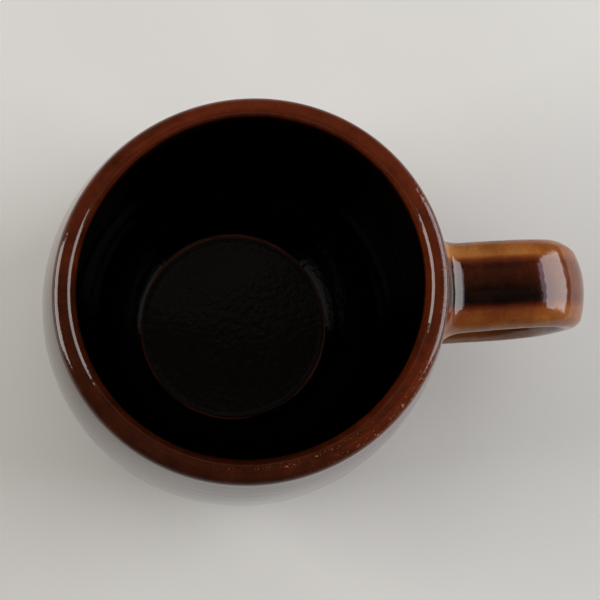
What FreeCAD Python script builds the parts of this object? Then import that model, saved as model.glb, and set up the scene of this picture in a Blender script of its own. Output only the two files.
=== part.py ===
import FreeCAD, Part

import math
import os

import Sketcher
from FreeCAD import Vector

# Glazed stoneware mug: a thrown cup with a strap handle stuck on with slip, under a coat of glaze.
# The origin is the centre of the foot ring on the table, +Z is up and the handle points along +X.
# Every size is in millimetres. Radii are measured from the mug's own axis, and heights from the table.

SIZES = {
    # glaze
    "glaze": 0.5,
    # lip, measured over the glaze
    "lip_height": 90.0,
    "lip_radius": 41.8,
    "lip_width": 5.2,
    "lip_round": 2.1,
    "lip_inside_round": 2.9,
    # outside of the wall, over the glaze
    "waist_height": 17.0,
    "waist_radius": 45.0,
    "belly_curve": 225.0,
    "base_curve": 17.0,
    # foot ring
    "foot_height": 3.4,
    "foot_outer": 31.0,
    "foot_spread": 0.8,
    "foot_inner": 26.0,
    "recess_depth": 2.6,
    "recess_radius": 24.6,
    # inside of the wall, over the glaze
    "floor_height": 7.6,
    "floor_radius": 24.1,
    "heel_height": 27.0,
    "heel_radius": 39.6,
    "heel_curve": 40.0,
    "inside_curve": 170.0,
    # handle strap, bare clay
    "strap_width": 19.2,
    "strap_end_width": 17.6,
    "strap_thick": 7.6,
    "strap_round": 3.6,
    # the strap's centre line
    "strap_top": 68.1,
    "strap_low": 28.1,
    "strap_reach": 75.8,
    "strap_low_reach": 74.6,
    "strap_start": 38.0,
    "bend_top": 12.6,
    "bend_low": 15.0,
    # slip that joins the strap to the wall
    "slip_gap": 0.6,
    "flare_root": 41.7,
    "flare_middle": 46.6,
    "flare_tip": 50.0,
    "flare_wide": 2.8,
    "flare_narrow": 0.9,
    "flare_tuck": 0.15,
}

# the side that an arc bulges to, as its outline is walked: right is away from the clay on the way up
OUTWARD = -1
INWARD = 1

doc = FreeCAD.newDocument("mug")


def write_sheet():
    """Put each driving dimension in its own cell, with its name as the cell's alias."""
    sheet = doc.addObject("Spreadsheet::Sheet", "Sizes")
    for row, (name, value) in enumerate(SIZES.items(), start=1):
        sheet.set(f"A{row}", name)
        sheet.set(f"B{row}", str(value))
        sheet.setAlias(f"B{row}", name)
    doc.recompute()


def size(words):
    """Turn a formula in cell names into one that reads the sheet."""
    out = []
    for word in words.replace("(", " ( ").replace(")", " ) ").split():
        out.append("Sizes." + word if word in SIZES else word)
    return " ".join(out)


def new_body(name):
    body = doc.addObject("PartDesign::Body", name)
    body.Label = name
    return body


def new_sketch(body, name, role, offset="0"):
    """Attach a sketch to one of the body's own origin planes, pushed along the plane's normal."""
    sketch = body.newObject("Sketcher::SketchObject", name)
    plane = next(o for o in body.Origin.OriginFeatures if o.Role == role)
    sketch.AttachmentSupport = [(plane, "")]
    sketch.MapMode = "FlatFace"
    if offset != "0":
        sketch.setExpression("AttachmentOffset.Base.z", size(offset))
    return sketch


def arc_through(start, end, radius, side):
    """The shorter arc of a radius between two points, bulging to the left where side is INWARD."""
    chord = end - start
    middle = (start + end) * 0.5
    left = Vector(-chord.y, chord.x, 0).normalize()
    rise = math.sqrt(radius ** 2 - (chord.Length / 2) ** 2)
    top = middle + left * side * (radius - rise)
    return Part.Arc(start, top, end)


def draw_outline(sketch, steps):
    """Draw a closed outline, with each corner and each arc's radius bound to the sheet.

    A step is the corner's two formulas, and for an arc that leads to the next corner also its
    radius and the side that it bulges to.
    """
    corners = [Vector(*(float(sketch.evalExpression(size(f))) for f in step[:2]), 0) for step in steps]
    ends = []
    for index, step in enumerate(steps):
        start = corners[index]
        end = corners[(index + 1) % len(steps)]
        if len(step) == 2:
            edge = sketch.addGeometry(Part.LineSegment(start, end), False)
            ends.append((edge, 1, 2))
            continue
        radius = float(sketch.evalExpression(size(step[2])))
        edge = sketch.addGeometry(arc_through(start, end, radius, step[3]), False)
        # the sketcher counts every arc anticlockwise, so one that bulges left is walked backwards
        ends.append((edge, 1, 2) if step[3] == OUTWARD else (edge, 2, 1))
        radius_rule = sketch.addConstraint(Sketcher.Constraint("Radius", edge, radius))
        sketch.setExpression(f"Constraints[{radius_rule}]", size(step[2]))
    for index, step in enumerate(steps):
        edge, first, last = ends[index]
        next_edge, next_first, next_last = ends[(index + 1) % len(steps)]
        sketch.addConstraint(Sketcher.Constraint("Coincident", edge, last, next_edge, next_first))
        for kind, formula, value in (("DistanceX", step[0], corners[index].x),
                                     ("DistanceY", step[1], corners[index].y)):
            rule = sketch.addConstraint(Sketcher.Constraint(kind, -1, 1, edge, first, value))
            sketch.setExpression(f"Constraints[{rule}]", size(formula))


def turned(name, steps):
    """A body turned about the mug's axis from one outline of radius against height."""
    body = new_body(name)
    sketch = new_sketch(body, name + "_outline", "XZ_Plane")
    draw_outline(sketch, steps)
    spin = body.newObject("PartDesign::Revolution", name + "_turned")
    spin.Profile = sketch
    spin.ReferenceAxis = (sketch, ["V_Axis"])
    spin.Angle = 360
    return body


# Corners that the clay and the glaze share, bare (clay) and over the glaze.
CLAY_FOOT = ("foot_outer + foot_spread", "foot_height")
CLAY_WAIST = ("waist_radius - glaze", "waist_height")
CLAY_LIP_OUT = ("lip_radius - glaze", "lip_height - lip_round")
CLAY_CREST_OUT = ("lip_radius - lip_round", "lip_height - glaze")
CLAY_CREST_IN = ("lip_radius - lip_width + lip_inside_round", "lip_height - glaze")
CLAY_LIP_IN = ("lip_radius - lip_width + glaze", "lip_height - lip_inside_round")
CLAY_HEEL = ("heel_radius + glaze", "heel_height")
CLAY_FLOOR = ("floor_radius", "floor_height - glaze")
GLAZE_FOOT = ("foot_outer + foot_spread + glaze * 0.5", "foot_height - glaze * 0.5")
GLAZE_WAIST = ("waist_radius", "waist_height")
GLAZE_LIP_OUT = ("lip_radius", "lip_height - lip_round")
GLAZE_CREST_OUT = ("lip_radius - lip_round", "lip_height")
GLAZE_CREST_IN = ("lip_radius - lip_width + lip_inside_round", "lip_height")
GLAZE_LIP_IN = ("lip_radius - lip_width", "lip_height - lip_inside_round")
GLAZE_HEEL = ("heel_radius", "heel_height")
GLAZE_FLOOR = ("floor_radius", "floor_height")


def outside_path(glazed):
    """The outside from the foot up and over the lip, as outline steps; bulges are outward."""
    foot, waist = (GLAZE_FOOT, GLAZE_WAIST) if glazed else (CLAY_FOOT, CLAY_WAIST)
    lip, crest = (GLAZE_LIP_OUT, GLAZE_CREST_OUT) if glazed else (CLAY_LIP_OUT, CLAY_CREST_OUT)
    crest_in, lip_in = (GLAZE_CREST_IN, GLAZE_LIP_IN) if glazed else (CLAY_CREST_IN, CLAY_LIP_IN)
    skin = "" if glazed else " - glaze"
    return [(*foot, "base_curve" + skin, OUTWARD),
            (*waist, "belly_curve" + skin, OUTWARD),
            (*lip, "lip_round" + skin, OUTWARD),
            crest,
            (*crest_in, "lip_inside_round" + skin, OUTWARD),
            lip_in]


def inside_path(glazed):
    """The inside from the lip down to the floor's centre, as outline steps."""
    lip, heel = (GLAZE_LIP_IN, GLAZE_HEEL) if glazed else (CLAY_LIP_IN, CLAY_HEEL)
    floor = GLAZE_FLOOR if glazed else CLAY_FLOOR
    skin = "" if glazed else " + glaze"
    return [(*lip, "inside_curve" + skin, INWARD),
            (*heel, "heel_curve" + skin, INWARD),
            floor,
            ("0", floor[1])]


def reversed_path(steps):
    """The same stretch walked the other way; its last step leads on from the first corner."""
    corners = [step[:2] for step in steps]
    curves = [step[2:] for step in steps]
    back = []
    for index in range(len(steps) - 1, 0, -1):
        curve = curves[index - 1]
        flipped = (curve[0], -curve[1]) if curve else ()
        back.append((*corners[index], *flipped))
    back.append(corners[0])
    return back


def make_cup_body():
    """The thrown clay: foot ring, wall, lip and floor in one turned piece."""
    foot = [("0", "recess_depth"),
            ("recess_radius", "recess_depth"),
            ("foot_inner", "0"),
            ("foot_outer", "0")]
    return turned("cup_body", foot + outside_path(False)[:-1] + inside_path(False))


def make_outer_skin():
    """Glaze from just above the foot, up the wall and over the lip."""
    return turned("outer_skin", outside_path(True) + reversed_path(outside_path(False)))


def make_liner_glaze():
    """Glaze that was poured in: the inside wall and the floor."""
    return turned("liner_glaze", reversed_path(inside_path(False)) + inside_path(True))


def make_wall_fill(name, swell):
    """The cup's outside as one filled solid, swollen by a gap: what a handle's end is cut against."""
    foot = (f"foot_outer + foot_spread + {swell}", "foot_height")
    waist = (f"waist_radius - glaze + {swell}", "waist_height")
    lip = (f"lip_radius - glaze + {swell}", "lip_height - lip_round")
    steps = [("0", foot[1]),
             (*foot, f"base_curve - glaze + {swell}", OUTWARD),
             (*waist, f"belly_curve - glaze + {swell}", OUTWARD),
             lip,
             ("0", lip[1])]
    return turned(name, steps)


def strap_section(body, name, along, up, wide, thick, corner):
    """A rounded rectangle across the strap, in a plane square to X."""
    half_wide = f"({wide}) * 0.5"
    half_thick = f"({thick}) * 0.5"
    low, high = f"{up} - {half_thick}", f"{up} + {half_thick}"
    sketch = new_sketch(body, name, "YZ_Plane", along)
    steps = [(f"{half_wide} - ({corner})", low, corner, OUTWARD),
             (half_wide, f"{low} + ({corner})"),
             (half_wide, f"{high} - ({corner})", corner, OUTWARD),
             (f"{half_wide} - ({corner})", high),
             (f"0 - {half_wide} + ({corner})", high, corner, OUTWARD),
             (f"0 - {half_wide}", f"{high} - ({corner})"),
             (f"0 - {half_wide}", f"{low} + ({corner})", corner, OUTWARD),
             (f"0 - {half_wide} + ({corner})", low)]
    draw_outline(sketch, steps)
    return sketch


def strap_path(body, name):
    """The strap's centre line: out from the wall, round two bends and back in."""
    wide, tight = SIZES["bend_low"], SIZES["bend_top"]
    top_bend = Vector(SIZES["strap_reach"] - tight, SIZES["strap_top"] - tight, 0)
    low_bend = Vector(SIZES["strap_low_reach"] - wide, SIZES["strap_low"] + wide, 0)
    start = Vector(SIZES["strap_start"], SIZES["strap_top"], 0)
    finish = Vector(SIZES["strap_start"], SIZES["strap_low"], 0)
    # the straight stretch touches both bends, so it leaves each at the same heading from its centre
    across = low_bend - top_bend
    heading = math.atan2(across.y, across.x) + math.acos((tight - wide) / across.Length)
    outward = Vector(math.cos(heading), math.sin(heading), 0)
    bend_start = top_bend + Vector(0, tight, 0)
    over = top_bend + Vector(1, 1, 0).normalize() * tight
    leave_top = top_bend + outward * tight
    reach_low = low_bend + outward * wide
    under = low_bend + Vector(1, -1, 0).normalize() * wide
    bend_finish = low_bend - Vector(0, wide, 0)
    sketch = new_sketch(body, name, "XZ_Plane")
    sketch.addGeometry(Part.LineSegment(start, bend_start), False)
    sketch.addGeometry(Part.Arc(bend_start, over, leave_top), False)
    sketch.addGeometry(Part.LineSegment(leave_top, reach_low), False)
    sketch.addGeometry(Part.Arc(reach_low, under, bend_finish), False)
    sketch.addGeometry(Part.LineSegment(bend_finish, finish), False)
    # both arcs were drawn clockwise, so each one's first end is the later one on the path
    for rule in (("Tangent", 0, 2, 1, 2), ("Tangent", 1, 1, 2, 1), ("Tangent", 2, 2, 3, 2),
                 ("Tangent", 3, 1, 4, 1), ("Horizontal", 0), ("Horizontal", 4)):
        sketch.addConstraint(Sketcher.Constraint(*rule))
    sized = (("DistanceX", (-1, 1, 0, 1), "strap_start", start.x),
             ("DistanceY", (-1, 1, 0, 1), "strap_top", start.y),
             ("DistanceX", (-1, 1, 4, 2), "strap_start", finish.x),
             ("DistanceY", (-1, 1, 4, 2), "strap_low", finish.y),
             ("DistanceX", (-1, 1, 1, 3), "strap_reach - bend_top", top_bend.x),
             ("DistanceX", (-1, 1, 3, 3), "strap_low_reach - bend_low", low_bend.x),
             ("Radius", (1,), "bend_top", tight),
             ("Radius", (3,), "bend_low", wide))
    for kind, places, formula, start_value in sized:
        rule = sketch.addConstraint(Sketcher.Constraint(kind, *places, start_value))
        sketch.setExpression(f"Constraints[{rule}]", size(formula))
    return sketch


def make_strap(name, skin):
    """The strap swept along its centre line, tapering to its lower end; skin is the glaze added all round."""
    body = new_body(name)
    spine = strap_path(body, name + "_path")
    first = strap_section(body, name + "_upper", "strap_start", "strap_top",
                          f"strap_width + {skin} * 2", f"strap_thick + {skin} * 2", f"strap_round + {skin}")
    last = strap_section(body, name + "_lower", "strap_start", "strap_low",
                         f"strap_end_width + {skin} * 2", f"strap_thick + {skin} * 2", f"strap_round + {skin}")
    doc.recompute()
    pipe = body.newObject("PartDesign::AdditivePipe", name + "_swept")
    pipe.Profile = first
    pipe.Spine = spine
    pipe.Transformation = "Multisection"
    pipe.Sections = [last]
    return body


def make_flare(name, centre, wide, skin):
    """The fillet of slip round one end of the strap: wide at the wall, gone where the strap runs free."""
    body = new_body(name)
    sections = []
    for index, (along, grow) in enumerate((("flare_root", "flare_wide"),
                                           ("flare_middle", "flare_narrow"),
                                           ("flare_tip", "0 - flare_tuck"))):
        added = f"{skin} + {grow}"
        sections.append(strap_section(body, f"{name}_{index}", along, centre,
                                      f"{wide} + ({added}) * 2", f"strap_thick + ({added}) * 2",
                                      f"strap_round + {added}"))
    doc.recompute()
    loft = body.newObject("PartDesign::AdditiveLoft", name + "_lofted")
    loft.Profile = sections[0]
    loft.Sections = sections[1:]
    return body


def cut(name, base, tool):
    """What is left of the base once the tool is taken out of it."""
    result = doc.addObject("Part::Cut", name)
    result.Label = name
    result.Base = base
    result.Tool = tool
    return result


def fused(name, shapes):
    result = doc.addObject("Part::MultiFuse", name)
    result.Shapes = shapes
    return result


def make_handle(strap):
    """The strap with each end trimmed to the wall, short of it by the slip that sticks it on."""
    return cut("handle", strap, make_wall_fill("wall_fill_slip", "slip_gap"))


def make_slip(name, flare, wall_fill, handle):
    """The slip between one end of the handle and the wall, smoothed out into a fillet."""
    return cut(name, cut(name + "_flare", flare, wall_fill), handle)


def check_features():
    """Stop on any feature that failed, which a recompute leaves without raising."""
    for feature in doc.Objects:
        if "Invalid" in feature.State or "Error" in feature.State:
            raise RuntimeError(f"{feature.Name} failed: {feature.State}")


def write_steps(pieces):
    """Check each piece's shape, then write it to a file named after the piece."""
    for piece in pieces:
        if piece.Shape.isNull() or not piece.Shape.isValid():
            raise RuntimeError(f"{piece.Label} has no valid shape")
    os.makedirs("parts", exist_ok=True)
    for piece in pieces:
        piece.Shape.exportStep(os.path.join("parts", piece.Label + ".step"))
        print(f"{piece.Label}: {len(piece.Shape.Solids)} solid, {piece.Shape.Volume / 1000:.2f} cm3")


write_sheet()
cup_body = make_cup_body()
liner_glaze = make_liner_glaze()
wall_fill = make_wall_fill("wall_fill", "0")
strap = make_strap("strap", "0")
strap_glazed = make_strap("strap_glazed", "glaze")
upper_flare = make_flare("upper_flare", "strap_top", "strap_width", "0")
lower_flare = make_flare("lower_flare", "strap_low", "strap_end_width", "0")
upper_flare_glazed = make_flare("upper_flare_glazed", "strap_top", "strap_width", "glaze")
lower_flare_glazed = make_flare("lower_flare_glazed", "strap_low", "strap_end_width", "glaze")
handle = make_handle(strap)
upper_slip = make_slip("upper_luting_slip", upper_flare, wall_fill, handle)
lower_slip = make_slip("lower_luting_slip", lower_flare, wall_fill, handle)
coated = fused("handle_coated", [strap_glazed, upper_flare_glazed, lower_flare_glazed])
bare = fused("handle_bare", [strap, upper_flare, lower_flare, wall_fill])
handle_glaze = cut("handle_glaze", coated, bare)
outer_glaze = cut("outer_glaze", make_outer_skin(), coated)
doc.recompute()
check_features()
write_steps([cup_body, handle, upper_slip, lower_slip, outer_glaze, liner_glaze, handle_glaze])
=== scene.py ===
import math

import bpy
import numpy as np
from mathutils import Matrix, Vector


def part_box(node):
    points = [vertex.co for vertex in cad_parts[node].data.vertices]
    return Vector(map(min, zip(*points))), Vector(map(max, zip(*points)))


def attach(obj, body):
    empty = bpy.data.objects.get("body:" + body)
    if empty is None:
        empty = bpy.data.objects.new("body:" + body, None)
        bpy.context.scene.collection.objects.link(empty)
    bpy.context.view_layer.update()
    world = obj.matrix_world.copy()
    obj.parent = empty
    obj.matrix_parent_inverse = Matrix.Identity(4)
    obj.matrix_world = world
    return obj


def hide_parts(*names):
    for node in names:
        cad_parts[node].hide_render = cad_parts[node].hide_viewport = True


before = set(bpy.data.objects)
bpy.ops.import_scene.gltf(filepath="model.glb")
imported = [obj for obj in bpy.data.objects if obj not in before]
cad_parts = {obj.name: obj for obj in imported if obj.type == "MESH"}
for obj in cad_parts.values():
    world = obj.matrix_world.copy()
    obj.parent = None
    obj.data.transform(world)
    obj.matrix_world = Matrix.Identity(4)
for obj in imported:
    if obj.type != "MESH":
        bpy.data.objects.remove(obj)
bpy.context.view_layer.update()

MM = 0.001

# ---------------------------------------------------------------- the studio
# A pale matt table between two soft windows, under a ceiling that is dim where
# the mug mirrors it. The camera looks down from a little to the front left.

LIP_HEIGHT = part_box("outer_glaze")[1][2]

CAMERA_PLACE = Vector((-21.8, -39.35, 407.8)) * MM
CAMERA_AIM = Vector((9.9 * MM, -3.28 * MM, LIP_HEIGHT))
CAMERA_ROLL = math.radians(-3.77)
CAMERA_LENS = 91.5

TABLE_SIDE = 9.0
ROOM_CEILING = 0.07
ROOM_WALLS = 0.30
ROOM_COLOUR = "#F6E9DC"
WALL_TOP = 0.45
BEAM_SCALE = 10.0

# each light: the direction that it stands in and its height, in degrees, how far off it is, its
# width and height in metres, its power in watts and its colour
WINDOWS = {
    "right_window": (6, 24, 0.90, 0.75, 0.62, 6.6, "#FFFDFC"),
    "right_blind": (6, 46, 0.90, 0.60, 0.14, 0.5, "#E9E4FF"),
    "left_window": (172, 24, 0.90, 0.56, 0.62, 6.0, "#FFF9F2"),
}
# the rest of the room's light, which comes from all over the ceiling: it lights but isn't mirrored
CEILING_LIGHT = (95, 72, 1.30, 1.50, 1.50, 7.2, "#FFFCF8")


def linear(hex_colour, alpha=1.0):
    """An sRGB hex colour as linear RGBA: each channel through the sRGB curve."""
    parts = [int(hex_colour[i:i + 2], 16) / 255 for i in (1, 3, 5)]
    return (*(c / 12.92 if c <= 0.04045 else ((c + 0.055) / 1.055) ** 2.4 for c in parts), alpha)


def add_node(tree, kind, inputs=None, stops=None, **settings):
    """Add a node, set it up, and fill its inputs with numbers or with other nodes' outputs."""
    made = tree.nodes.new(kind)
    for name, value in settings.items():
        setattr(made, name, value)
    if stops:
        ramp = made.color_ramp
        while len(ramp.elements) < len(stops):
            ramp.elements.new(0.5)
        for element, (place, colour) in zip(ramp.elements, stops):
            element.position = place
            element.color = linear(colour)
    for name, value in (inputs or {}).items():
        if isinstance(value, bpy.types.NodeSocket):
            tree.links.new(value, made.inputs[name])
        else:
            made.inputs[name].default_value = value
    return made


def new_material(name):
    """An empty node material and its tree."""
    material = bpy.data.materials.new(name)
    material.use_nodes = True
    material.node_tree.nodes.clear()
    return material, material.node_tree


def place_camera():
    """Stand the camera at its place, look at its aim, and roll it about its line of sight."""
    back = (CAMERA_PLACE - CAMERA_AIM).normalized()
    level = Vector((0, 1, 0)).cross(back).normalized()
    rise = back.cross(level)
    right = level * math.cos(CAMERA_ROLL) + rise * math.sin(CAMERA_ROLL)
    up = back.cross(right)
    camera = bpy.data.objects.new("camera", bpy.data.cameras.new("camera"))
    camera.data.lens = CAMERA_LENS
    camera.data.sensor_width = 36
    camera.data.clip_start = 0.01
    camera.data.clip_end = 50
    camera.matrix_world = Matrix((right, up, back)).transposed().to_4x4()
    camera.location = CAMERA_PLACE
    bpy.context.collection.objects.link(camera)
    bpy.context.scene.camera = camera


def hang_window(name, around, above, distance, width, height, power, colour, mirrored=True):
    """A soft rectangular light that faces the mug's lip; glossy surfaces see it where mirrored is True."""
    around, above = math.radians(around), math.radians(above)
    towards = Vector((math.cos(around) * math.cos(above),
                      math.sin(around) * math.cos(above),
                      math.sin(above)))
    lamp = bpy.data.lights.new(name, "AREA")
    lamp.shape = "RECTANGLE"
    lamp.size = width
    lamp.size_y = height
    lamp.energy = power
    lamp.color = linear(colour)[:3]
    window = bpy.data.objects.new(name, lamp)
    window.location = towards * distance + Vector((0, 0, LIP_HEIGHT))
    window.rotation_euler = (-towards).to_track_quat("-Z", "Y").to_euler()
    window.visible_camera = False
    window.visible_glossy = mirrored
    bpy.context.collection.objects.link(window)


def paint_room():
    """A room that is dim and mottled overhead and paler towards the horizon."""
    world = bpy.data.worlds.new("room")
    world.use_nodes = True
    tree = world.node_tree
    tree.nodes.clear()
    sky = add_node(tree, "ShaderNodeTexCoord")
    height = add_node(tree, "ShaderNodeSeparateXYZ", {"Vector": sky.outputs["Generated"]})
    walls = add_node(tree, "ShaderNodeMapRange",
                     {"Value": height.outputs["Z"], "From Min": 0.0, "From Max": WALL_TOP,
                      "To Min": ROOM_WALLS, "To Max": ROOM_CEILING}, interpolation_type="SMOOTHSTEP")
    # beams and unlit lamps mottle the ceiling, and the mug's glossy floor mirrors them
    beams = add_node(tree, "ShaderNodeTexNoise",
                     {"Vector": sky.outputs["Generated"], "Scale": BEAM_SCALE, "Detail": 1.0})
    mottle = add_node(tree, "ShaderNodeMapRange",
                      {"Value": beams.outputs["Fac"], "From Min": 0.40, "From Max": 0.62,
                       "To Min": 0.4, "To Max": 1.5})
    strength = add_node(tree, "ShaderNodeMath", {0: walls.outputs["Result"], 1: mottle.outputs["Result"]},
                        operation="MULTIPLY")
    light = add_node(tree, "ShaderNodeBackground",
                     {"Color": linear(ROOM_COLOUR), "Strength": strength.outputs[0]})
    add_node(tree, "ShaderNodeOutputWorld", {"Surface": light.outputs["Background"]})
    bpy.context.scene.world = world


def lay_table():
    """A pale, faintly uneven matt table top."""
    half = TABLE_SIDE / 2
    mesh = bpy.data.meshes.new("table")
    corners = [(-half, -half, 0), (half, -half, 0), (half, half, 0), (-half, half, 0)]
    mesh.from_pydata(corners, [], [(0, 1, 2, 3)])
    table = bpy.data.objects.new("table", mesh)
    bpy.context.collection.objects.link(table)
    material, tree = new_material("matt painted table")
    place = add_node(tree, "ShaderNodeTexCoord")
    cloud = add_node(tree, "ShaderNodeTexNoise",
                     {"Vector": place.outputs["Object"], "Scale": 9.0, "Detail": 3.0})
    tone = add_node(tree, "ShaderNodeValToRGB", {"Fac": cloud.outputs["Fac"]},
                    stops=((0.3, "#D4D5D3"), (0.7, "#DCDDDB")))
    paint = add_node(tree, "ShaderNodeBsdfPrincipled",
                     {"Base Color": tone.outputs["Color"], "Roughness": 0.62, "Specular IOR Level": 0.3})
    add_node(tree, "ShaderNodeOutputMaterial", {"Surface": paint.outputs["BSDF"]})
    mesh.materials.append(material)


place_camera()
for window_name, window_facts in WINDOWS.items():
    hang_window(window_name, *window_facts)
hang_window("ceiling_light", *CEILING_LIGHT, mirrored=False)
paint_room()
lay_table()
bpy.context.scene.view_settings.view_transform = "Standard"

# ---------------------------------------------------------------- the glaze
# Iron-brown stoneware glaze, fired glossy. Its colour is its thickness: amber
# where it has run thin over an edge, red-brown on the lip, and nearly black
# where it lies thick. Each glazed surface carries it as coat, from 0 up to 1 or more,
# and in places the coat also holds painted shade.

GLAZE_STOPS = (
    (0.00, "#B0763A"),
    (0.18, "#8C5020"),
    (0.34, "#6A3114"),
    (0.50, "#56200C"),
    (0.66, "#351204"),
    (0.82, "#160702"),
    (1.00, "#050201"),
)
MOTTLE_SIZE = 5 * MM
MOTTLE_DEPTH = 0.34
SPECK_SIZE = 0.7 * MM
SPECK_DEPTH = 0.10
ORANGE_PEEL = 1.6 * MM
PEEL_DEPTH = 0.035 * MM
SAND_GRAIN = 0.45 * MM
SAND_THINS = 0.7


def glaze_material(name, sand_depth):
    """Glossy iron glaze, coloured by its thickness, with mottling and orange peel.

    Where grit is 1 it also has grains of sand under it, which stand up by sand_depth and thin it.
    """
    material, tree = new_material(name)
    place = add_node(tree, "ShaderNodeTexCoord").outputs["Object"]
    coat = add_node(tree, "ShaderNodeAttribute", attribute_name="coat").outputs["Fac"]
    mottle = add_node(tree, "ShaderNodeTexNoise",
                      {"Vector": place, "Scale": 1 / MOTTLE_SIZE, "Detail": 5.0, "Roughness": 0.6})
    speck = add_node(tree, "ShaderNodeTexNoise",
                     {"Vector": place, "Scale": 1 / SPECK_SIZE, "Detail": 2.0})
    shift = add_node(tree, "ShaderNodeMath",
                     {0: mottle.outputs["Fac"], 1: MOTTLE_DEPTH, 2: -MOTTLE_DEPTH / 2},
                     operation="MULTIPLY_ADD")
    fleck = add_node(tree, "ShaderNodeMath",
                     {0: speck.outputs["Fac"], 1: SPECK_DEPTH, 2: -SPECK_DEPTH / 2},
                     operation="MULTIPLY_ADD")
    moved = add_node(tree, "ShaderNodeMath", {0: coat, 1: shift.outputs[0]}, operation="ADD")
    depth = add_node(tree, "ShaderNodeMath", {0: moved.outputs[0], 1: fleck.outputs[0]}, operation="ADD")
    peel = add_node(tree, "ShaderNodeTexNoise", {"Vector": place, "Scale": 1 / ORANGE_PEEL, "Detail": 1.0})
    sand = add_node(tree, "ShaderNodeTexNoise", {"Vector": place, "Scale": 1 / SAND_GRAIN, "Detail": 1.0})
    grains = add_node(tree, "ShaderNodeMapRange",
                      {"Value": sand.outputs["Fac"], "From Min": 0.62, "From Max": 0.74},
                      interpolation_type="SMOOTHSTEP")
    peeled = add_node(tree, "ShaderNodeBump",
                      {"Height": peel.outputs["Fac"], "Distance": PEEL_DEPTH, "Strength": 1.0})
    grit = add_node(tree, "ShaderNodeAttribute", attribute_name="grit").outputs["Fac"]
    sandy = add_node(tree, "ShaderNodeMath", {0: grains.outputs["Result"], 1: grit}, operation="MULTIPLY")
    # the coat is thin over each grain
    worn = add_node(tree, "ShaderNodeMath", {0: sandy.outputs[0], 1: -SAND_THINS, 2: depth.outputs[0]},
                    operation="MULTIPLY_ADD")
    colour = add_node(tree, "ShaderNodeValToRGB", {"Fac": worn.outputs[0]}, stops=GLAZE_STOPS)
    sanded = add_node(tree, "ShaderNodeBump",
                      {"Height": sandy.outputs[0], "Distance": sand_depth, "Strength": 1.0,
                       "Normal": peeled.outputs["Normal"]})
    glass = add_node(tree, "ShaderNodeBsdfPrincipled",
                     {"Base Color": colour.outputs["Color"], "Roughness": 0.09, "IOR": 1.52,
                      "Normal": sanded.outputs["Normal"]})
    add_node(tree, "ShaderNodeOutputMaterial", {"Surface": glass.outputs["BSDF"]})
    return material


def closed_shell(name, rings, first_pole, last_pole, **fields):
    """A closed surface through rings of points, with a single point past the first and last ring.

    rings is rows by columns by xyz; each quad joins two neighbouring points of a ring to the next
    ring's, and a fan of triangles closes each pole. Each field is a number for each point, kept as
    an attribute of its name.
    """
    rows, columns = rings.shape[:2]
    points = np.concatenate([rings.reshape(-1, 3), [first_pole, last_pole]])
    row, column = np.meshgrid(np.arange(rows - 1), np.arange(columns), indexing="ij")
    beside = (column + 1) % columns
    quads = np.stack([row * columns + column, (row + 1) * columns + column,
                      (row + 1) * columns + beside, row * columns + beside], axis=-1).reshape(-1, 4)
    around = np.arange(columns)
    ahead = (around + 1) % columns
    last = (rows - 1) * columns
    first_fan = np.stack([around, ahead, np.full(columns, rows * columns)], axis=-1)
    last_fan = np.stack([last + ahead, last + around, np.full(columns, rows * columns + 1)], axis=-1)
    mesh = bpy.data.meshes.new(name)
    mesh.from_pydata(points.tolist(), [], quads.tolist() + first_fan.tolist() + last_fan.tolist())
    mesh.polygons.foreach_set("use_smooth", np.ones(len(mesh.polygons), bool))
    for field, values in fields.items():
        kept = mesh.attributes.new(field, "FLOAT", "POINT")
        kept.data.foreach_set("value", np.append(values.ravel(), [values[0].mean(), values[-1].mean()]))
    piece = bpy.data.objects.new(name, mesh)
    bpy.context.collection.objects.link(piece)
    return piece


# ---------------------------------------------------------------- the cup
# One coat of glaze that covers the outside of a thrown cup, goes over its rounded
# lip and lines the inside, down to a flat floor with a long round corner.

LIP_RADIUS = 41.8 * MM
LIP_WIDTH = 5.2 * MM
LIP_ROUND = 2.1 * MM
LIP_INSIDE_ROUND = (2.3 * MM, 4.5 * MM)
LIP_LEAN = 0.25 * MM
LIP_SHIFT = 0.30 * MM
WAIST = (44.9 * MM, 17.0 * MM)
BELLY_CURVE = 225 * MM
BASE_CURVE = 17 * MM
GLAZE_FOOT = (32.05 * MM, 3.15 * MM)
GLAZE_THICK = 0.5 * MM
FLOOR_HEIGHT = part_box("liner_glaze")[0][2] + GLAZE_THICK
FLOOR_RADIUS = 24.1 * MM
HEEL = (39.6 * MM, 27.0 * MM)
HEEL_CURVE = 40 * MM
INSIDE_CURVE = 170 * MM
OVAL = 0.0184
OVAL_TURN = math.radians(24.7)
RING_PITCH = 5.4 * MM
RING_DEPTH_OUTSIDE = 0.010 * MM
RING_DEPTH_INSIDE = 0.05 * MM
SWELL_DEPTH = 0.04 * MM
BEAD_HEIGHT = 0.22 * MM
LIP_COAT = 0.50
CUP_COLUMNS = 320


def arc(start, end, radius, side, step=0.05 * MM):
    """Points along the shorter arc of a radius between two points; it bulges left where side is 1."""
    start, end = np.array(start), np.array(end)
    chord = end - start
    length = np.hypot(*chord)
    left = np.array([-chord[1], chord[0]]) / length
    centre = (start + end) / 2 - side * left * math.sqrt(radius ** 2 - (length / 2) ** 2)
    first = math.atan2(*(start - centre)[::-1])
    swing = -side * 2 * math.asin(length / 2 / radius)
    angles = first + swing * np.linspace(0, 1, max(2, int(abs(swing) * radius / step)))
    return centre + radius * np.stack([np.cos(angles), np.sin(angles)], axis=-1)


def straight(start, end, step=0.05 * MM):
    """Points along a straight stretch."""
    count = max(2, int(math.dist(start, end) / step))
    return np.linspace(start, end, count)


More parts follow.
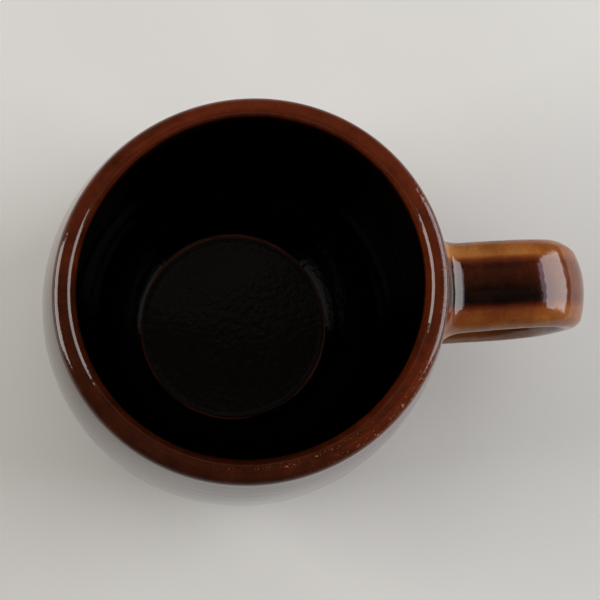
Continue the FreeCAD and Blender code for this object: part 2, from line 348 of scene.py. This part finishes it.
def glazed_profile(spacing):
    """The glazed wall as radius against height: floor, inside, lip and outside, down to the foot.

    The arcs and straights are joined, softened by a Gaussian with a sigma of 0.4 mm, and resampled
    so that the points lie spacing apart, and about three times closer over the lip.
    """
    crest = LIP_HEIGHT - LIP_ROUND
    across, down = LIP_INSIDE_ROUND
    lip_in = (LIP_RADIUS - LIP_WIDTH, LIP_HEIGHT - down)
    crest_in = (lip_in[0] + across, LIP_HEIGHT)
    turn = np.linspace(0, math.pi / 2, 90)
    stretches = [straight((0, FLOOR_HEIGHT), (FLOOR_RADIUS, FLOOR_HEIGHT)),
                 arc((FLOOR_RADIUS, FLOOR_HEIGHT), HEEL, HEEL_CURVE, -1),
                 arc(HEEL, lip_in, INSIDE_CURVE, -1),
                 np.stack([crest_in[0] - across * np.cos(turn), lip_in[1] + down * np.sin(turn)], axis=-1),
                 straight(crest_in, (LIP_RADIUS - LIP_ROUND, LIP_HEIGHT)),
                 arc((LIP_RADIUS - LIP_ROUND, LIP_HEIGHT), (LIP_RADIUS, crest), LIP_ROUND, 1),
                 arc((LIP_RADIUS, crest), WAIST, BELLY_CURVE, 1),
                 arc(WAIST, GLAZE_FOOT, BASE_CURVE, 1)]
    path = np.concatenate([stretch[:-1] for stretch in stretches] + [stretches[-1][-1:]])
    kernel = np.exp(-0.5 * (np.arange(-24, 25) / 8) ** 2)
    kernel /= kernel.sum()
    padded = np.concatenate([2 * path[0] - path[24:0:-1], path, 2 * path[-1] - path[-2:-26:-1]])
    soft = np.stack([np.convolve(padded[:, i], kernel, "valid") for i in (0, 1)], axis=-1)
    soft[0, 0] = 0
    along = np.concatenate([[0], np.cumsum(np.hypot(*np.diff(soft, axis=0).T))])
    density = 1 + 2.4 * (soft[:, 1] > LIP_HEIGHT - 4 * MM)
    count = np.concatenate([[0], np.cumsum(np.diff(along) * density[1:])]) / spacing
    places = np.interp(np.linspace(0, count[-1], int(count[-1])), count, along)
    return np.stack([np.interp(places, along, soft[:, i]) for i in (0, 1)], axis=-1)


def profile_normals(profile):
    """Unit normals of a profile walked with the clay on its right, pointing out of the clay."""
    run = np.gradient(profile, axis=0)
    run /= np.hypot(*run.T)[:, None]
    return np.stack([-run[:, 1], run[:, 0]], axis=-1)


def oval(angle, height):
    """The factor that makes a radius oval: 1 up to the belly, and at the lip largest along OVAL_TURN."""
    share = np.clip((height / LIP_HEIGHT - 0.45) / 0.5, 0, 1)
    return 1 + OVAL * share * np.cos(2 * (angle - OVAL_TURN))


def turn_profile(profile, columns, lift):
    """Carry a profile round the cup's axis.

    Each point moves out along the profile's normal by lift, its radius grows by the oval, and near
    the lip the wall thins at the back and thickens at the front, the rim sits a little towards the
    handle, and the crest rises and falls.
    """
    angle = np.linspace(0, 2 * math.pi, columns, endpoint=False)
    normals = profile_normals(profile)
    height = profile[:, 1:] + normals[:, 1:] * lift
    radius = (profile[:, :1] + normals[:, :1] * lift) * oval(angle, profile[:, 1:])
    near_lip = np.clip((profile[:, 1:] / LIP_HEIGHT - 0.6) / 0.4, 0, 1) ** 2
    wave = 0.10 * MM * np.cos(2 * angle + 1.1) + 0.06 * MM * np.cos(3 * angle + 0.4)
    radius = radius - LIP_LEAN * near_lip * np.sin(angle) * normals[:, :1]
    return np.stack([radius * np.cos(angle) + LIP_SHIFT * near_lip, radius * np.sin(angle),
                     height + near_lip * wave], axis=-1)


def smooth_noise(rng, waves, along, angle, size):
    """A gentle random field on the wall: a sum of sine waves of height and angle, about size wide."""
    total = 0
    for _ in range(waves):
        turn = int(rng.integers(-6, 7))
        pitch = rng.uniform(-1, 1) * 2 * math.pi / size
        total = total + np.cos(pitch * along + turn * angle + rng.uniform(0, 2 * math.pi))
    return total / math.sqrt(waves)


def make_cup_glaze():
    """The coat of glaze as a closed skin: its own face, then the clay's face behind it."""
    rng = np.random.default_rng(7)
    profile = glazed_profile(1.05 * MM)[1:]
    angle = np.linspace(0, 2 * math.pi, CUP_COLUMNS, endpoint=False)[None, :]
    along = np.concatenate([[0], np.cumsum(np.hypot(*np.diff(profile, axis=0).T))])[:, None]
    height = profile[:, 1:]
    top = int(np.argmax(profile[:, 1]))
    outside = (np.arange(len(profile)) > top)[:, None]
    below_lip = LIP_HEIGHT - height
    to_foot = along[-1] - along
    # the thrower's finger rings climb the wall as a spiral, and die out at the lip and the foot
    rings = np.sin(2 * math.pi * height / RING_PITCH + angle + 0.6 * np.sin(2 * angle))
    calm = np.clip(below_lip / (14 * MM), 0, 1) ** 2 * np.clip(height / (18 * MM), 0, 1) ** 2
    swell = smooth_noise(rng, 10, along, angle, 40 * MM)
    lift = calm * rings * np.where(outside, RING_DEPTH_OUTSIDE, RING_DEPTH_INSIDE)
    lift = lift + SWELL_DEPTH * swell * np.clip(below_lip / (4 * MM), 0, 1)
    # the glaze gathers in a rolled bead just above the bare foot
    ragged = smooth_noise(rng, 8, 0 * along, angle, 1)
    bead = np.exp(-(((to_foot - 1.1 * MM) / (1.1 * MM)) ** 2)) * outside
    lift = lift + bead * (BEAD_HEIGHT + 0.10 * MM * ragged)
    # the throwing marks fade out at the middle of the floor
    lift = lift * np.clip(profile[:, :1] / (22 * MM), 0, 1) ** 2
    outer = turn_profile(profile, CUP_COLUMNS, lift)
    hidden = profile[::4]
    inner = turn_profile(hidden, CUP_COLUMNS, np.full((len(hidden), CUP_COLUMNS), -GLAZE_THICK))[::-1]
    rings_all = np.concatenate([outer, inner])
    # thickness: thickest inside, middling on the lip and outside, and darker towards the front, partly from
    # thicker glaze and partly as painted shade of the dim front of the room
    front = 0.08 * (1 - np.sin(angle)) - 0.03 * np.cos(angle) + 0.05 * np.clip(np.cos(angle + 2.4), 0, 1)
    # the inside darkens a little below the lip as the glaze pools; the sine term makes it darken sooner at
    # the back, painted shade where the back's inner slope faces the dim front of the room
    pooled_and_shaded = np.clip((below_lip - (2.4 - 1.4 * np.sin(angle)) * MM) / (2.2 * MM), 0, 1)
    coat_in = LIP_COAT + 0.90 * pooled_and_shaded
    coat_out = LIP_COAT + 0.05 * swell - 0.02 * rings * calm + 0.30 * np.exp(-(to_foot / (5 * MM)) ** 2)
    coat = np.where(outside, coat_out, coat_in) + front
    # sand shows through on the lip's outer edge towards the handle, on its crest at the front, and
    # just inside it at the back left
    crest = np.exp(-(((along - along[top] - 1.6 * MM) / (1.1 * MM)) ** 2))
    middle = np.exp(-(((along - along[top] + 0.6 * MM) / (0.5 * MM)) ** 2))
    inside = np.exp(-(((along[top] - along - 5.0 * MM) / (1.2 * MM)) ** 2))
    grit = (crest * np.clip(1.6 * np.cos(angle + 0.35) - 0.6, 0, 1)
            + middle * np.clip(5 * np.cos(angle + 1.35) - 4.2, 0, 1)
            + inside * np.clip(5 * np.cos(angle - 2.18) - 3.8, 0, 1))
    unseen = np.full((len(hidden), CUP_COLUMNS), LIP_COAT)
    cup = closed_shell("cup_glaze", rings_all, (0, 0, FLOOR_HEIGHT), (0, 0, FLOOR_HEIGHT - GLAZE_THICK),
                       coat=np.concatenate([coat, unseen]), grit=np.concatenate([grit, 0 * unseen]))
    cup.data.materials.append(glaze_material("iron brown stoneware glaze", 0.06 * MM))
    return cup


cup_glaze = make_cup_glaze()
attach(cup_glaze, "root")
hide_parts("outer_glaze", "liner_glaze")

# ---------------------------------------------------------------- the clay of the cup
# Buff stoneware, thrown and then turned at the foot. It shows only where the
# glaze was wiped off so that the mug wouldn't stick to the kiln shelf.

RECESS_RADIUS = 24.6 * MM
RECESS_DEPTH = 2.6 * MM
FOOT_INNER = 26 * MM
FOOT_OUTER = 31 * MM
FOOT_EDGE = 0.5 * MM
CLAY_GAP = 0.04 * MM
TURNING_PITCH = 1.5 * MM
TURNING_DEPTH = 0.07 * MM
BUFF = ("#A98D6C", "#BFA482")
IRON_SPOT = "#4A2C1C"


def stoneware_material(name, hexes):
    """Bare fired stoneware: a dry grainy buff body with iron specks and fine pores."""
    material, tree = new_material(name)
    place = add_node(tree, "ShaderNodeTexCoord").outputs["Object"]
    cloud = add_node(tree, "ShaderNodeTexNoise", {"Vector": place, "Scale": 1 / (9 * MM), "Detail": 4.0})
    body = add_node(tree, "ShaderNodeValToRGB", {"Fac": cloud.outputs["Fac"]},
                    stops=((0.3, hexes[0]), (0.7, hexes[1])))
    iron = add_node(tree, "ShaderNodeTexVoronoi", {"Vector": place, "Scale": 1 / (1.9 * MM)}, feature="F1")
    spot = add_node(tree, "ShaderNodeMapRange",
                    {"Value": iron.outputs["Distance"], "From Min": 0.10, "From Max": 0.20,
                     "To Min": 1.0, "To Max": 0.0})
    stained = add_node(tree, "ShaderNodeMixRGB",
                       {"Fac": spot.outputs["Result"], "Color1": body.outputs["Color"],
                        "Color2": linear(IRON_SPOT)})
    grit = add_node(tree, "ShaderNodeTexNoise", {"Vector": place, "Scale": 1 / (0.35 * MM), "Detail": 3.0})
    rough = add_node(tree, "ShaderNodeBump",
                     {"Height": grit.outputs["Fac"], "Distance": 0.12 * MM, "Strength": 0.8})
    clay = add_node(tree, "ShaderNodeBsdfPrincipled",
                    {"Base Color": stained.outputs["Color"], "Roughness": 0.82, "IOR": 1.5,
                     "Specular IOR Level": 0.3, "Normal": rough.outputs["Normal"]})
    add_node(tree, "ShaderNodeOutputMaterial", {"Surface": clay.outputs["BSDF"]})
    return material


def make_cup_clay():
    """The clay: the glaze's profile moved in by the coat's thickness, then the turned foot and recess."""
    glazed = glazed_profile(2.2 * MM)[1:]
    hidden = glazed - profile_normals(glazed) * (GLAZE_THICK + CLAY_GAP)
    corner = FOOT_EDGE * (1 - math.sqrt(0.5))
    foot = np.concatenate([
        straight(hidden[-1], (FOOT_OUTER, FOOT_EDGE), 0.4 * MM)[1:],
        [(FOOT_OUTER - corner, corner), (FOOT_OUTER - FOOT_EDGE, 0)],
        straight((FOOT_OUTER - FOOT_EDGE, 0), (FOOT_INNER + FOOT_EDGE, 0), 0.4 * MM)[1:],
        [(FOOT_INNER + corner, corner), (FOOT_INNER, FOOT_EDGE)],
        straight((FOOT_INNER, FOOT_EDGE), (RECESS_RADIUS, RECESS_DEPTH), 0.4 * MM)[1:],
        straight((RECESS_RADIUS, RECESS_DEPTH), (0.6 * MM, RECESS_DEPTH), 0.4 * MM)[1:]])
    profile = np.concatenate([hidden, foot])
    angle = np.linspace(0, 2 * math.pi, CUP_COLUMNS, endpoint=False)[None, :]
    turned = (profile[:, 1:] < 2.9 * MM) & (profile[:, :1] < RECESS_RADIUS)
    groove = np.sin(2 * math.pi * profile[:, :1] / TURNING_PITCH + angle) * TURNING_DEPTH * turned
    rings = turn_profile(profile, CUP_COLUMNS, groove)
    cup = closed_shell("cup_clay", rings, (0, 0, glazed[0, 1] - GLAZE_THICK), (0, 0, RECESS_DEPTH))
    cup.data.materials.append(stoneware_material("bare buff stoneware", BUFF))
    return cup


cup_clay = make_cup_clay()
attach(cup_clay, "root")
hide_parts("cup_body")

# ---------------------------------------------------------------- the handle
# A pulled strap, stuck on with slip at both ends and glazed with the cup. The
# glaze runs off its edges, where it is amber, and pools on its top.

STRAP_WIDE = 10.3 * MM
STRAP_WIDE_LOW = 9.5 * MM
STRAP_HALF = 4.3 * MM
STRAP_ROUND = 4.15 * MM
STRAP_CROWN = 0.22
STRAP_TOP = 68.1 * MM
STRAP_LOW = 28.1 * MM
BEND_TOP = ((63.8 * MM, 55.5 * MM), 12.6 * MM)
BEND_LOW = ((59.6 * MM, 43.1 * MM), 15 * MM)
STRAP_START = 51 * MM
FILLET = 5.2 * MM
FILLET_SIDE = 2.5 * MM
STRAP_COLUMNS = 112


def strap_line(count):
    """The strap's middle line: out level, round the upper bend, down, round the lower one and back.

    The two bends are arcs joined by their outer common tangent; the line is evenly resampled and
    softened along its length. Returns places and unit tangents in the plane of x and z.
    """
    (x1, z1), r1 = BEND_TOP
    (x2, z2), r2 = BEND_LOW
    apart = math.hypot(x1 - x2, z1 - z2)
    lean = math.atan2(z1 - z2, x1 - x2) - math.acos((r2 - r1) / apart)
    top = np.linspace(math.pi / 2, lean, 200)
    low = np.linspace(lean, -math.pi / 2, 240)
    path = np.concatenate([
        straight((STRAP_START - 12 * MM, STRAP_TOP), (x1, STRAP_TOP), 0.1 * MM)[:-1],
        np.stack([x1 + r1 * np.cos(top), z1 + r1 * np.sin(top)], axis=-1),
        np.stack([x2 + r2 * np.cos(low), z2 + r2 * np.sin(low)], axis=-1),
        straight((x2, STRAP_LOW), (STRAP_START - 12 * MM, STRAP_LOW), 0.1 * MM)[1:]])
    along = np.concatenate([[0], np.cumsum(np.hypot(*np.diff(path, axis=0).T))])
    places = np.arange(0, along[-1], 0.1 * MM)
    even = np.stack([np.interp(places, along, path[:, i]) for i in (0, 1)], axis=-1)
    kernel = np.exp(-0.5 * (np.arange(-60, 61) / 18) ** 2)
    kernel /= kernel.sum()
    soft = np.stack([np.convolve(even[:, i], kernel, "valid") for i in (0, 1)], axis=-1)
    past = soft[:, 0] > STRAP_START
    first, last = np.argmax(past), len(past) - 1 - np.argmax(past[::-1])
    pick = np.linspace(first, last, count)
    steps = np.arange(len(soft))
    line = np.stack([np.interp(pick, steps, soft[:, i]) for i in (0, 1)], axis=-1)
    run = np.gradient(line, axis=0)
    return line, run / np.hypot(*run.T)[:, None]


def strap_section(wide, inset):
    """A strap's section: a rounded rectangle with a slight crown, as offsets across (y) and outward.

    A circle of the rounding's radius is carried round a flat of the remaining width and thickness,
    then the whole is shrunk by inset along its normals. Also returns its outward unit normals.
    """
    turn = np.linspace(0, 2 * math.pi, 4001)[:-1]
    sideways = np.sign(np.sin(turn)) * np.abs(np.sin(turn)) ** 0.8
    spread_y = (wide - STRAP_ROUND) * np.clip(1.5 * sideways, -1, 1)
    spread_n = (STRAP_HALF - STRAP_ROUND) * np.clip(1.5 * np.cos(turn), -1, 1)
    y = spread_y + STRAP_ROUND * np.sin(turn)
    n = (spread_n + STRAP_ROUND * np.cos(turn)) * (1 - STRAP_CROWN * (y / wide) ** 2)
    ring = np.stack([y, n], axis=-1)
    step = np.hypot(*np.diff(np.concatenate([ring, ring[:1]]), axis=0).T)
    along = np.concatenate([[0], np.cumsum(step)])
    even = np.linspace(0, along[-1], STRAP_COLUMNS, endpoint=False)
    ring = np.stack([np.interp(even, along, np.append(ring[:, i], ring[0, i])) for i in (0, 1)], axis=-1)
    run = np.roll(ring, -1, axis=0) - np.roll(ring, 1, axis=0)
    run /= np.hypot(*run.T)[:, None]
    normal = np.stack([-run[:, 1], run[:, 0]], axis=-1)
    return ring - normal * inset, normal


def wall_reach(y, z):
    """How far along x the glazed wall's outside lies, at each place across and height."""
    profile = glazed_profile(1.05 * MM)
    outside = profile[np.argmax(profile[:, 1]):][::-1]
    radius = np.interp(z, outside[:, 1], outside[:, 0])
    x = radius
    for _ in range(5):
        x = np.sqrt((radius * oval(np.arctan2(y, x), z)) ** 2 - y ** 2)
    return x


def strap_root(height, up, wide, inset, steps):
    """The strap's end, from its plain section in to the wall, as rings from the wall outwards.

    Each point is the section's point moved out along the section's normal as the quarter circle of
    the fillet grows, and stands off the wall by the quarter circle's other side.
    """
    ring, normal = strap_section(wide, inset)
    turn = np.concatenate([[math.pi / 2] * 2, np.linspace(math.pi / 2, 0, steps)[1:], np.zeros(7)])[:, None]
    stand = FILLET * (1 - np.sin(turn)) - inset
    stand[0] = -1.2 * MM
    grow = 1 - np.cos(turn)
    y = ring[None, :, 0] + normal[None, :, 0] * grow * FILLET_SIDE
    z = height + up * (ring[None, :, 1] + normal[None, :, 1] * grow * FILLET)
    x = wall_reach(y, z) + stand
    blend = np.concatenate([np.zeros(steps + 1), np.linspace(0, 1, 8)[1:]])[:, None]
    return np.stack([x * (1 - blend) + STRAP_START * blend, y, z], axis=-1)


def strap_rings(inset):
    """The whole strap as rings, from the upper joint to the lower one: a section carried along its line."""
    line, run = strap_line(150)
    share = np.linspace(0, 1, len(line))
    wide = STRAP_WIDE + (STRAP_WIDE_LOW - STRAP_WIDE) * share
    ring, _ = strap_section(STRAP_WIDE, inset)
    across = ring[None, :, 0] * (wide / STRAP_WIDE)[:, None]
    out = ring[None, :, 1] + 0 * across
    outward = np.stack([-run[:, 1], run[:, 0]], axis=-1)
    tube = np.stack([line[:, :1] + outward[:, :1] * out,
                     across,
                     line[:, 1:] + outward[:, 1:] * out], axis=-1)
    top_root = strap_root(STRAP_TOP, 1, STRAP_WIDE, inset, 18)
    low_root = strap_root(STRAP_LOW, -1, STRAP_WIDE_LOW, inset, 18)[::-1]
    rings = np.concatenate([top_root[:-1], tube, low_root[1:]])
    # a handmade strap is never quite even: it sits a little towards the back, and its back edge is
    # pulled in round the upper bend
    x, y, z = np.moveaxis(rings, -1, 0)
    pull = np.clip((x - 70 * MM) / (10 * MM), 0, 1) ** 2 * np.clip((z - 40 * MM) / (12 * MM), 0, 1)
    rings[..., 1] = np.where(y > 0, y * (1 - 0.20 * pull), y)
    wander = np.cos(math.pi * z / (60 * MM) + 1.0) + 0.5 * np.cos(math.pi * z / (30 * MM) + 4.0)
    rings[..., 1] += (0.20 + 0.12 * wander) * MM * np.clip((rings[..., 0] - 49 * MM) / (8 * MM), 0, 1)
    return rings


def strap_end(rings, row):
    """The middle of an end ring, a little further into the wall."""
    return rings[row].mean(axis=0) - np.array([0.5 * MM, 0, 0])


def make_handle_glaze():
    """The strap's coat of glaze, with its thickness."""
    rings = strap_rings(0)
    x, y, z = np.moveaxis(rings, -1, 0)
    # thickness: pools thick on the flat top next to the wall, thin on the edges, middling elsewhere, and
    # on the top a little darker towards the front, as painted shade of the dim front of the room carried on
    # the coat
    on_top = np.clip((z - (STRAP_TOP + 2.5 * MM)) / (1.2 * MM), 0, 1)
    edge = np.clip((np.abs(y - 0.4 * MM) - 4.3 * MM) / (2.0 * MM), 0, 1)
    reach = np.clip((68.5 * MM - x) / (3 * MM), 0, 1)
    coat = 0.38 - 0.20 * edge + on_top * (1 - edge) * (0.14 + 0.24 * reach)
    # painted shade: the glaze on the top is made darker towards the front
    coat = coat + np.clip(-y / (24 * MM), -0.12, 0.13) * on_top
    handle = closed_shell("handle_glaze_coat", rings, strap_end(rings, 0), strap_end(rings, -1),
                          coat=coat, grit=0 * coat)
    handle.data.materials.append(glaze_material("thin amber stoneware glaze", 0.02 * MM))
    return handle


def make_handle_clay():
    """The strap's clay and the slip fillets that stick it on, inside the glaze."""
    rings = strap_rings(GLAZE_THICK)
    handle = closed_shell("handle_clay", rings, strap_end(rings, 0), strap_end(rings, -1))
    handle.data.materials.append(stoneware_material("buff stoneware of the strap and its slip", BUFF))
    return handle


handle_glaze = make_handle_glaze()
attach(handle_glaze, "root")
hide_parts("handle_glaze")

handle_clay = make_handle_clay()
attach(handle_clay, "root")
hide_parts("handle", "upper_luting_slip", "lower_luting_slip")
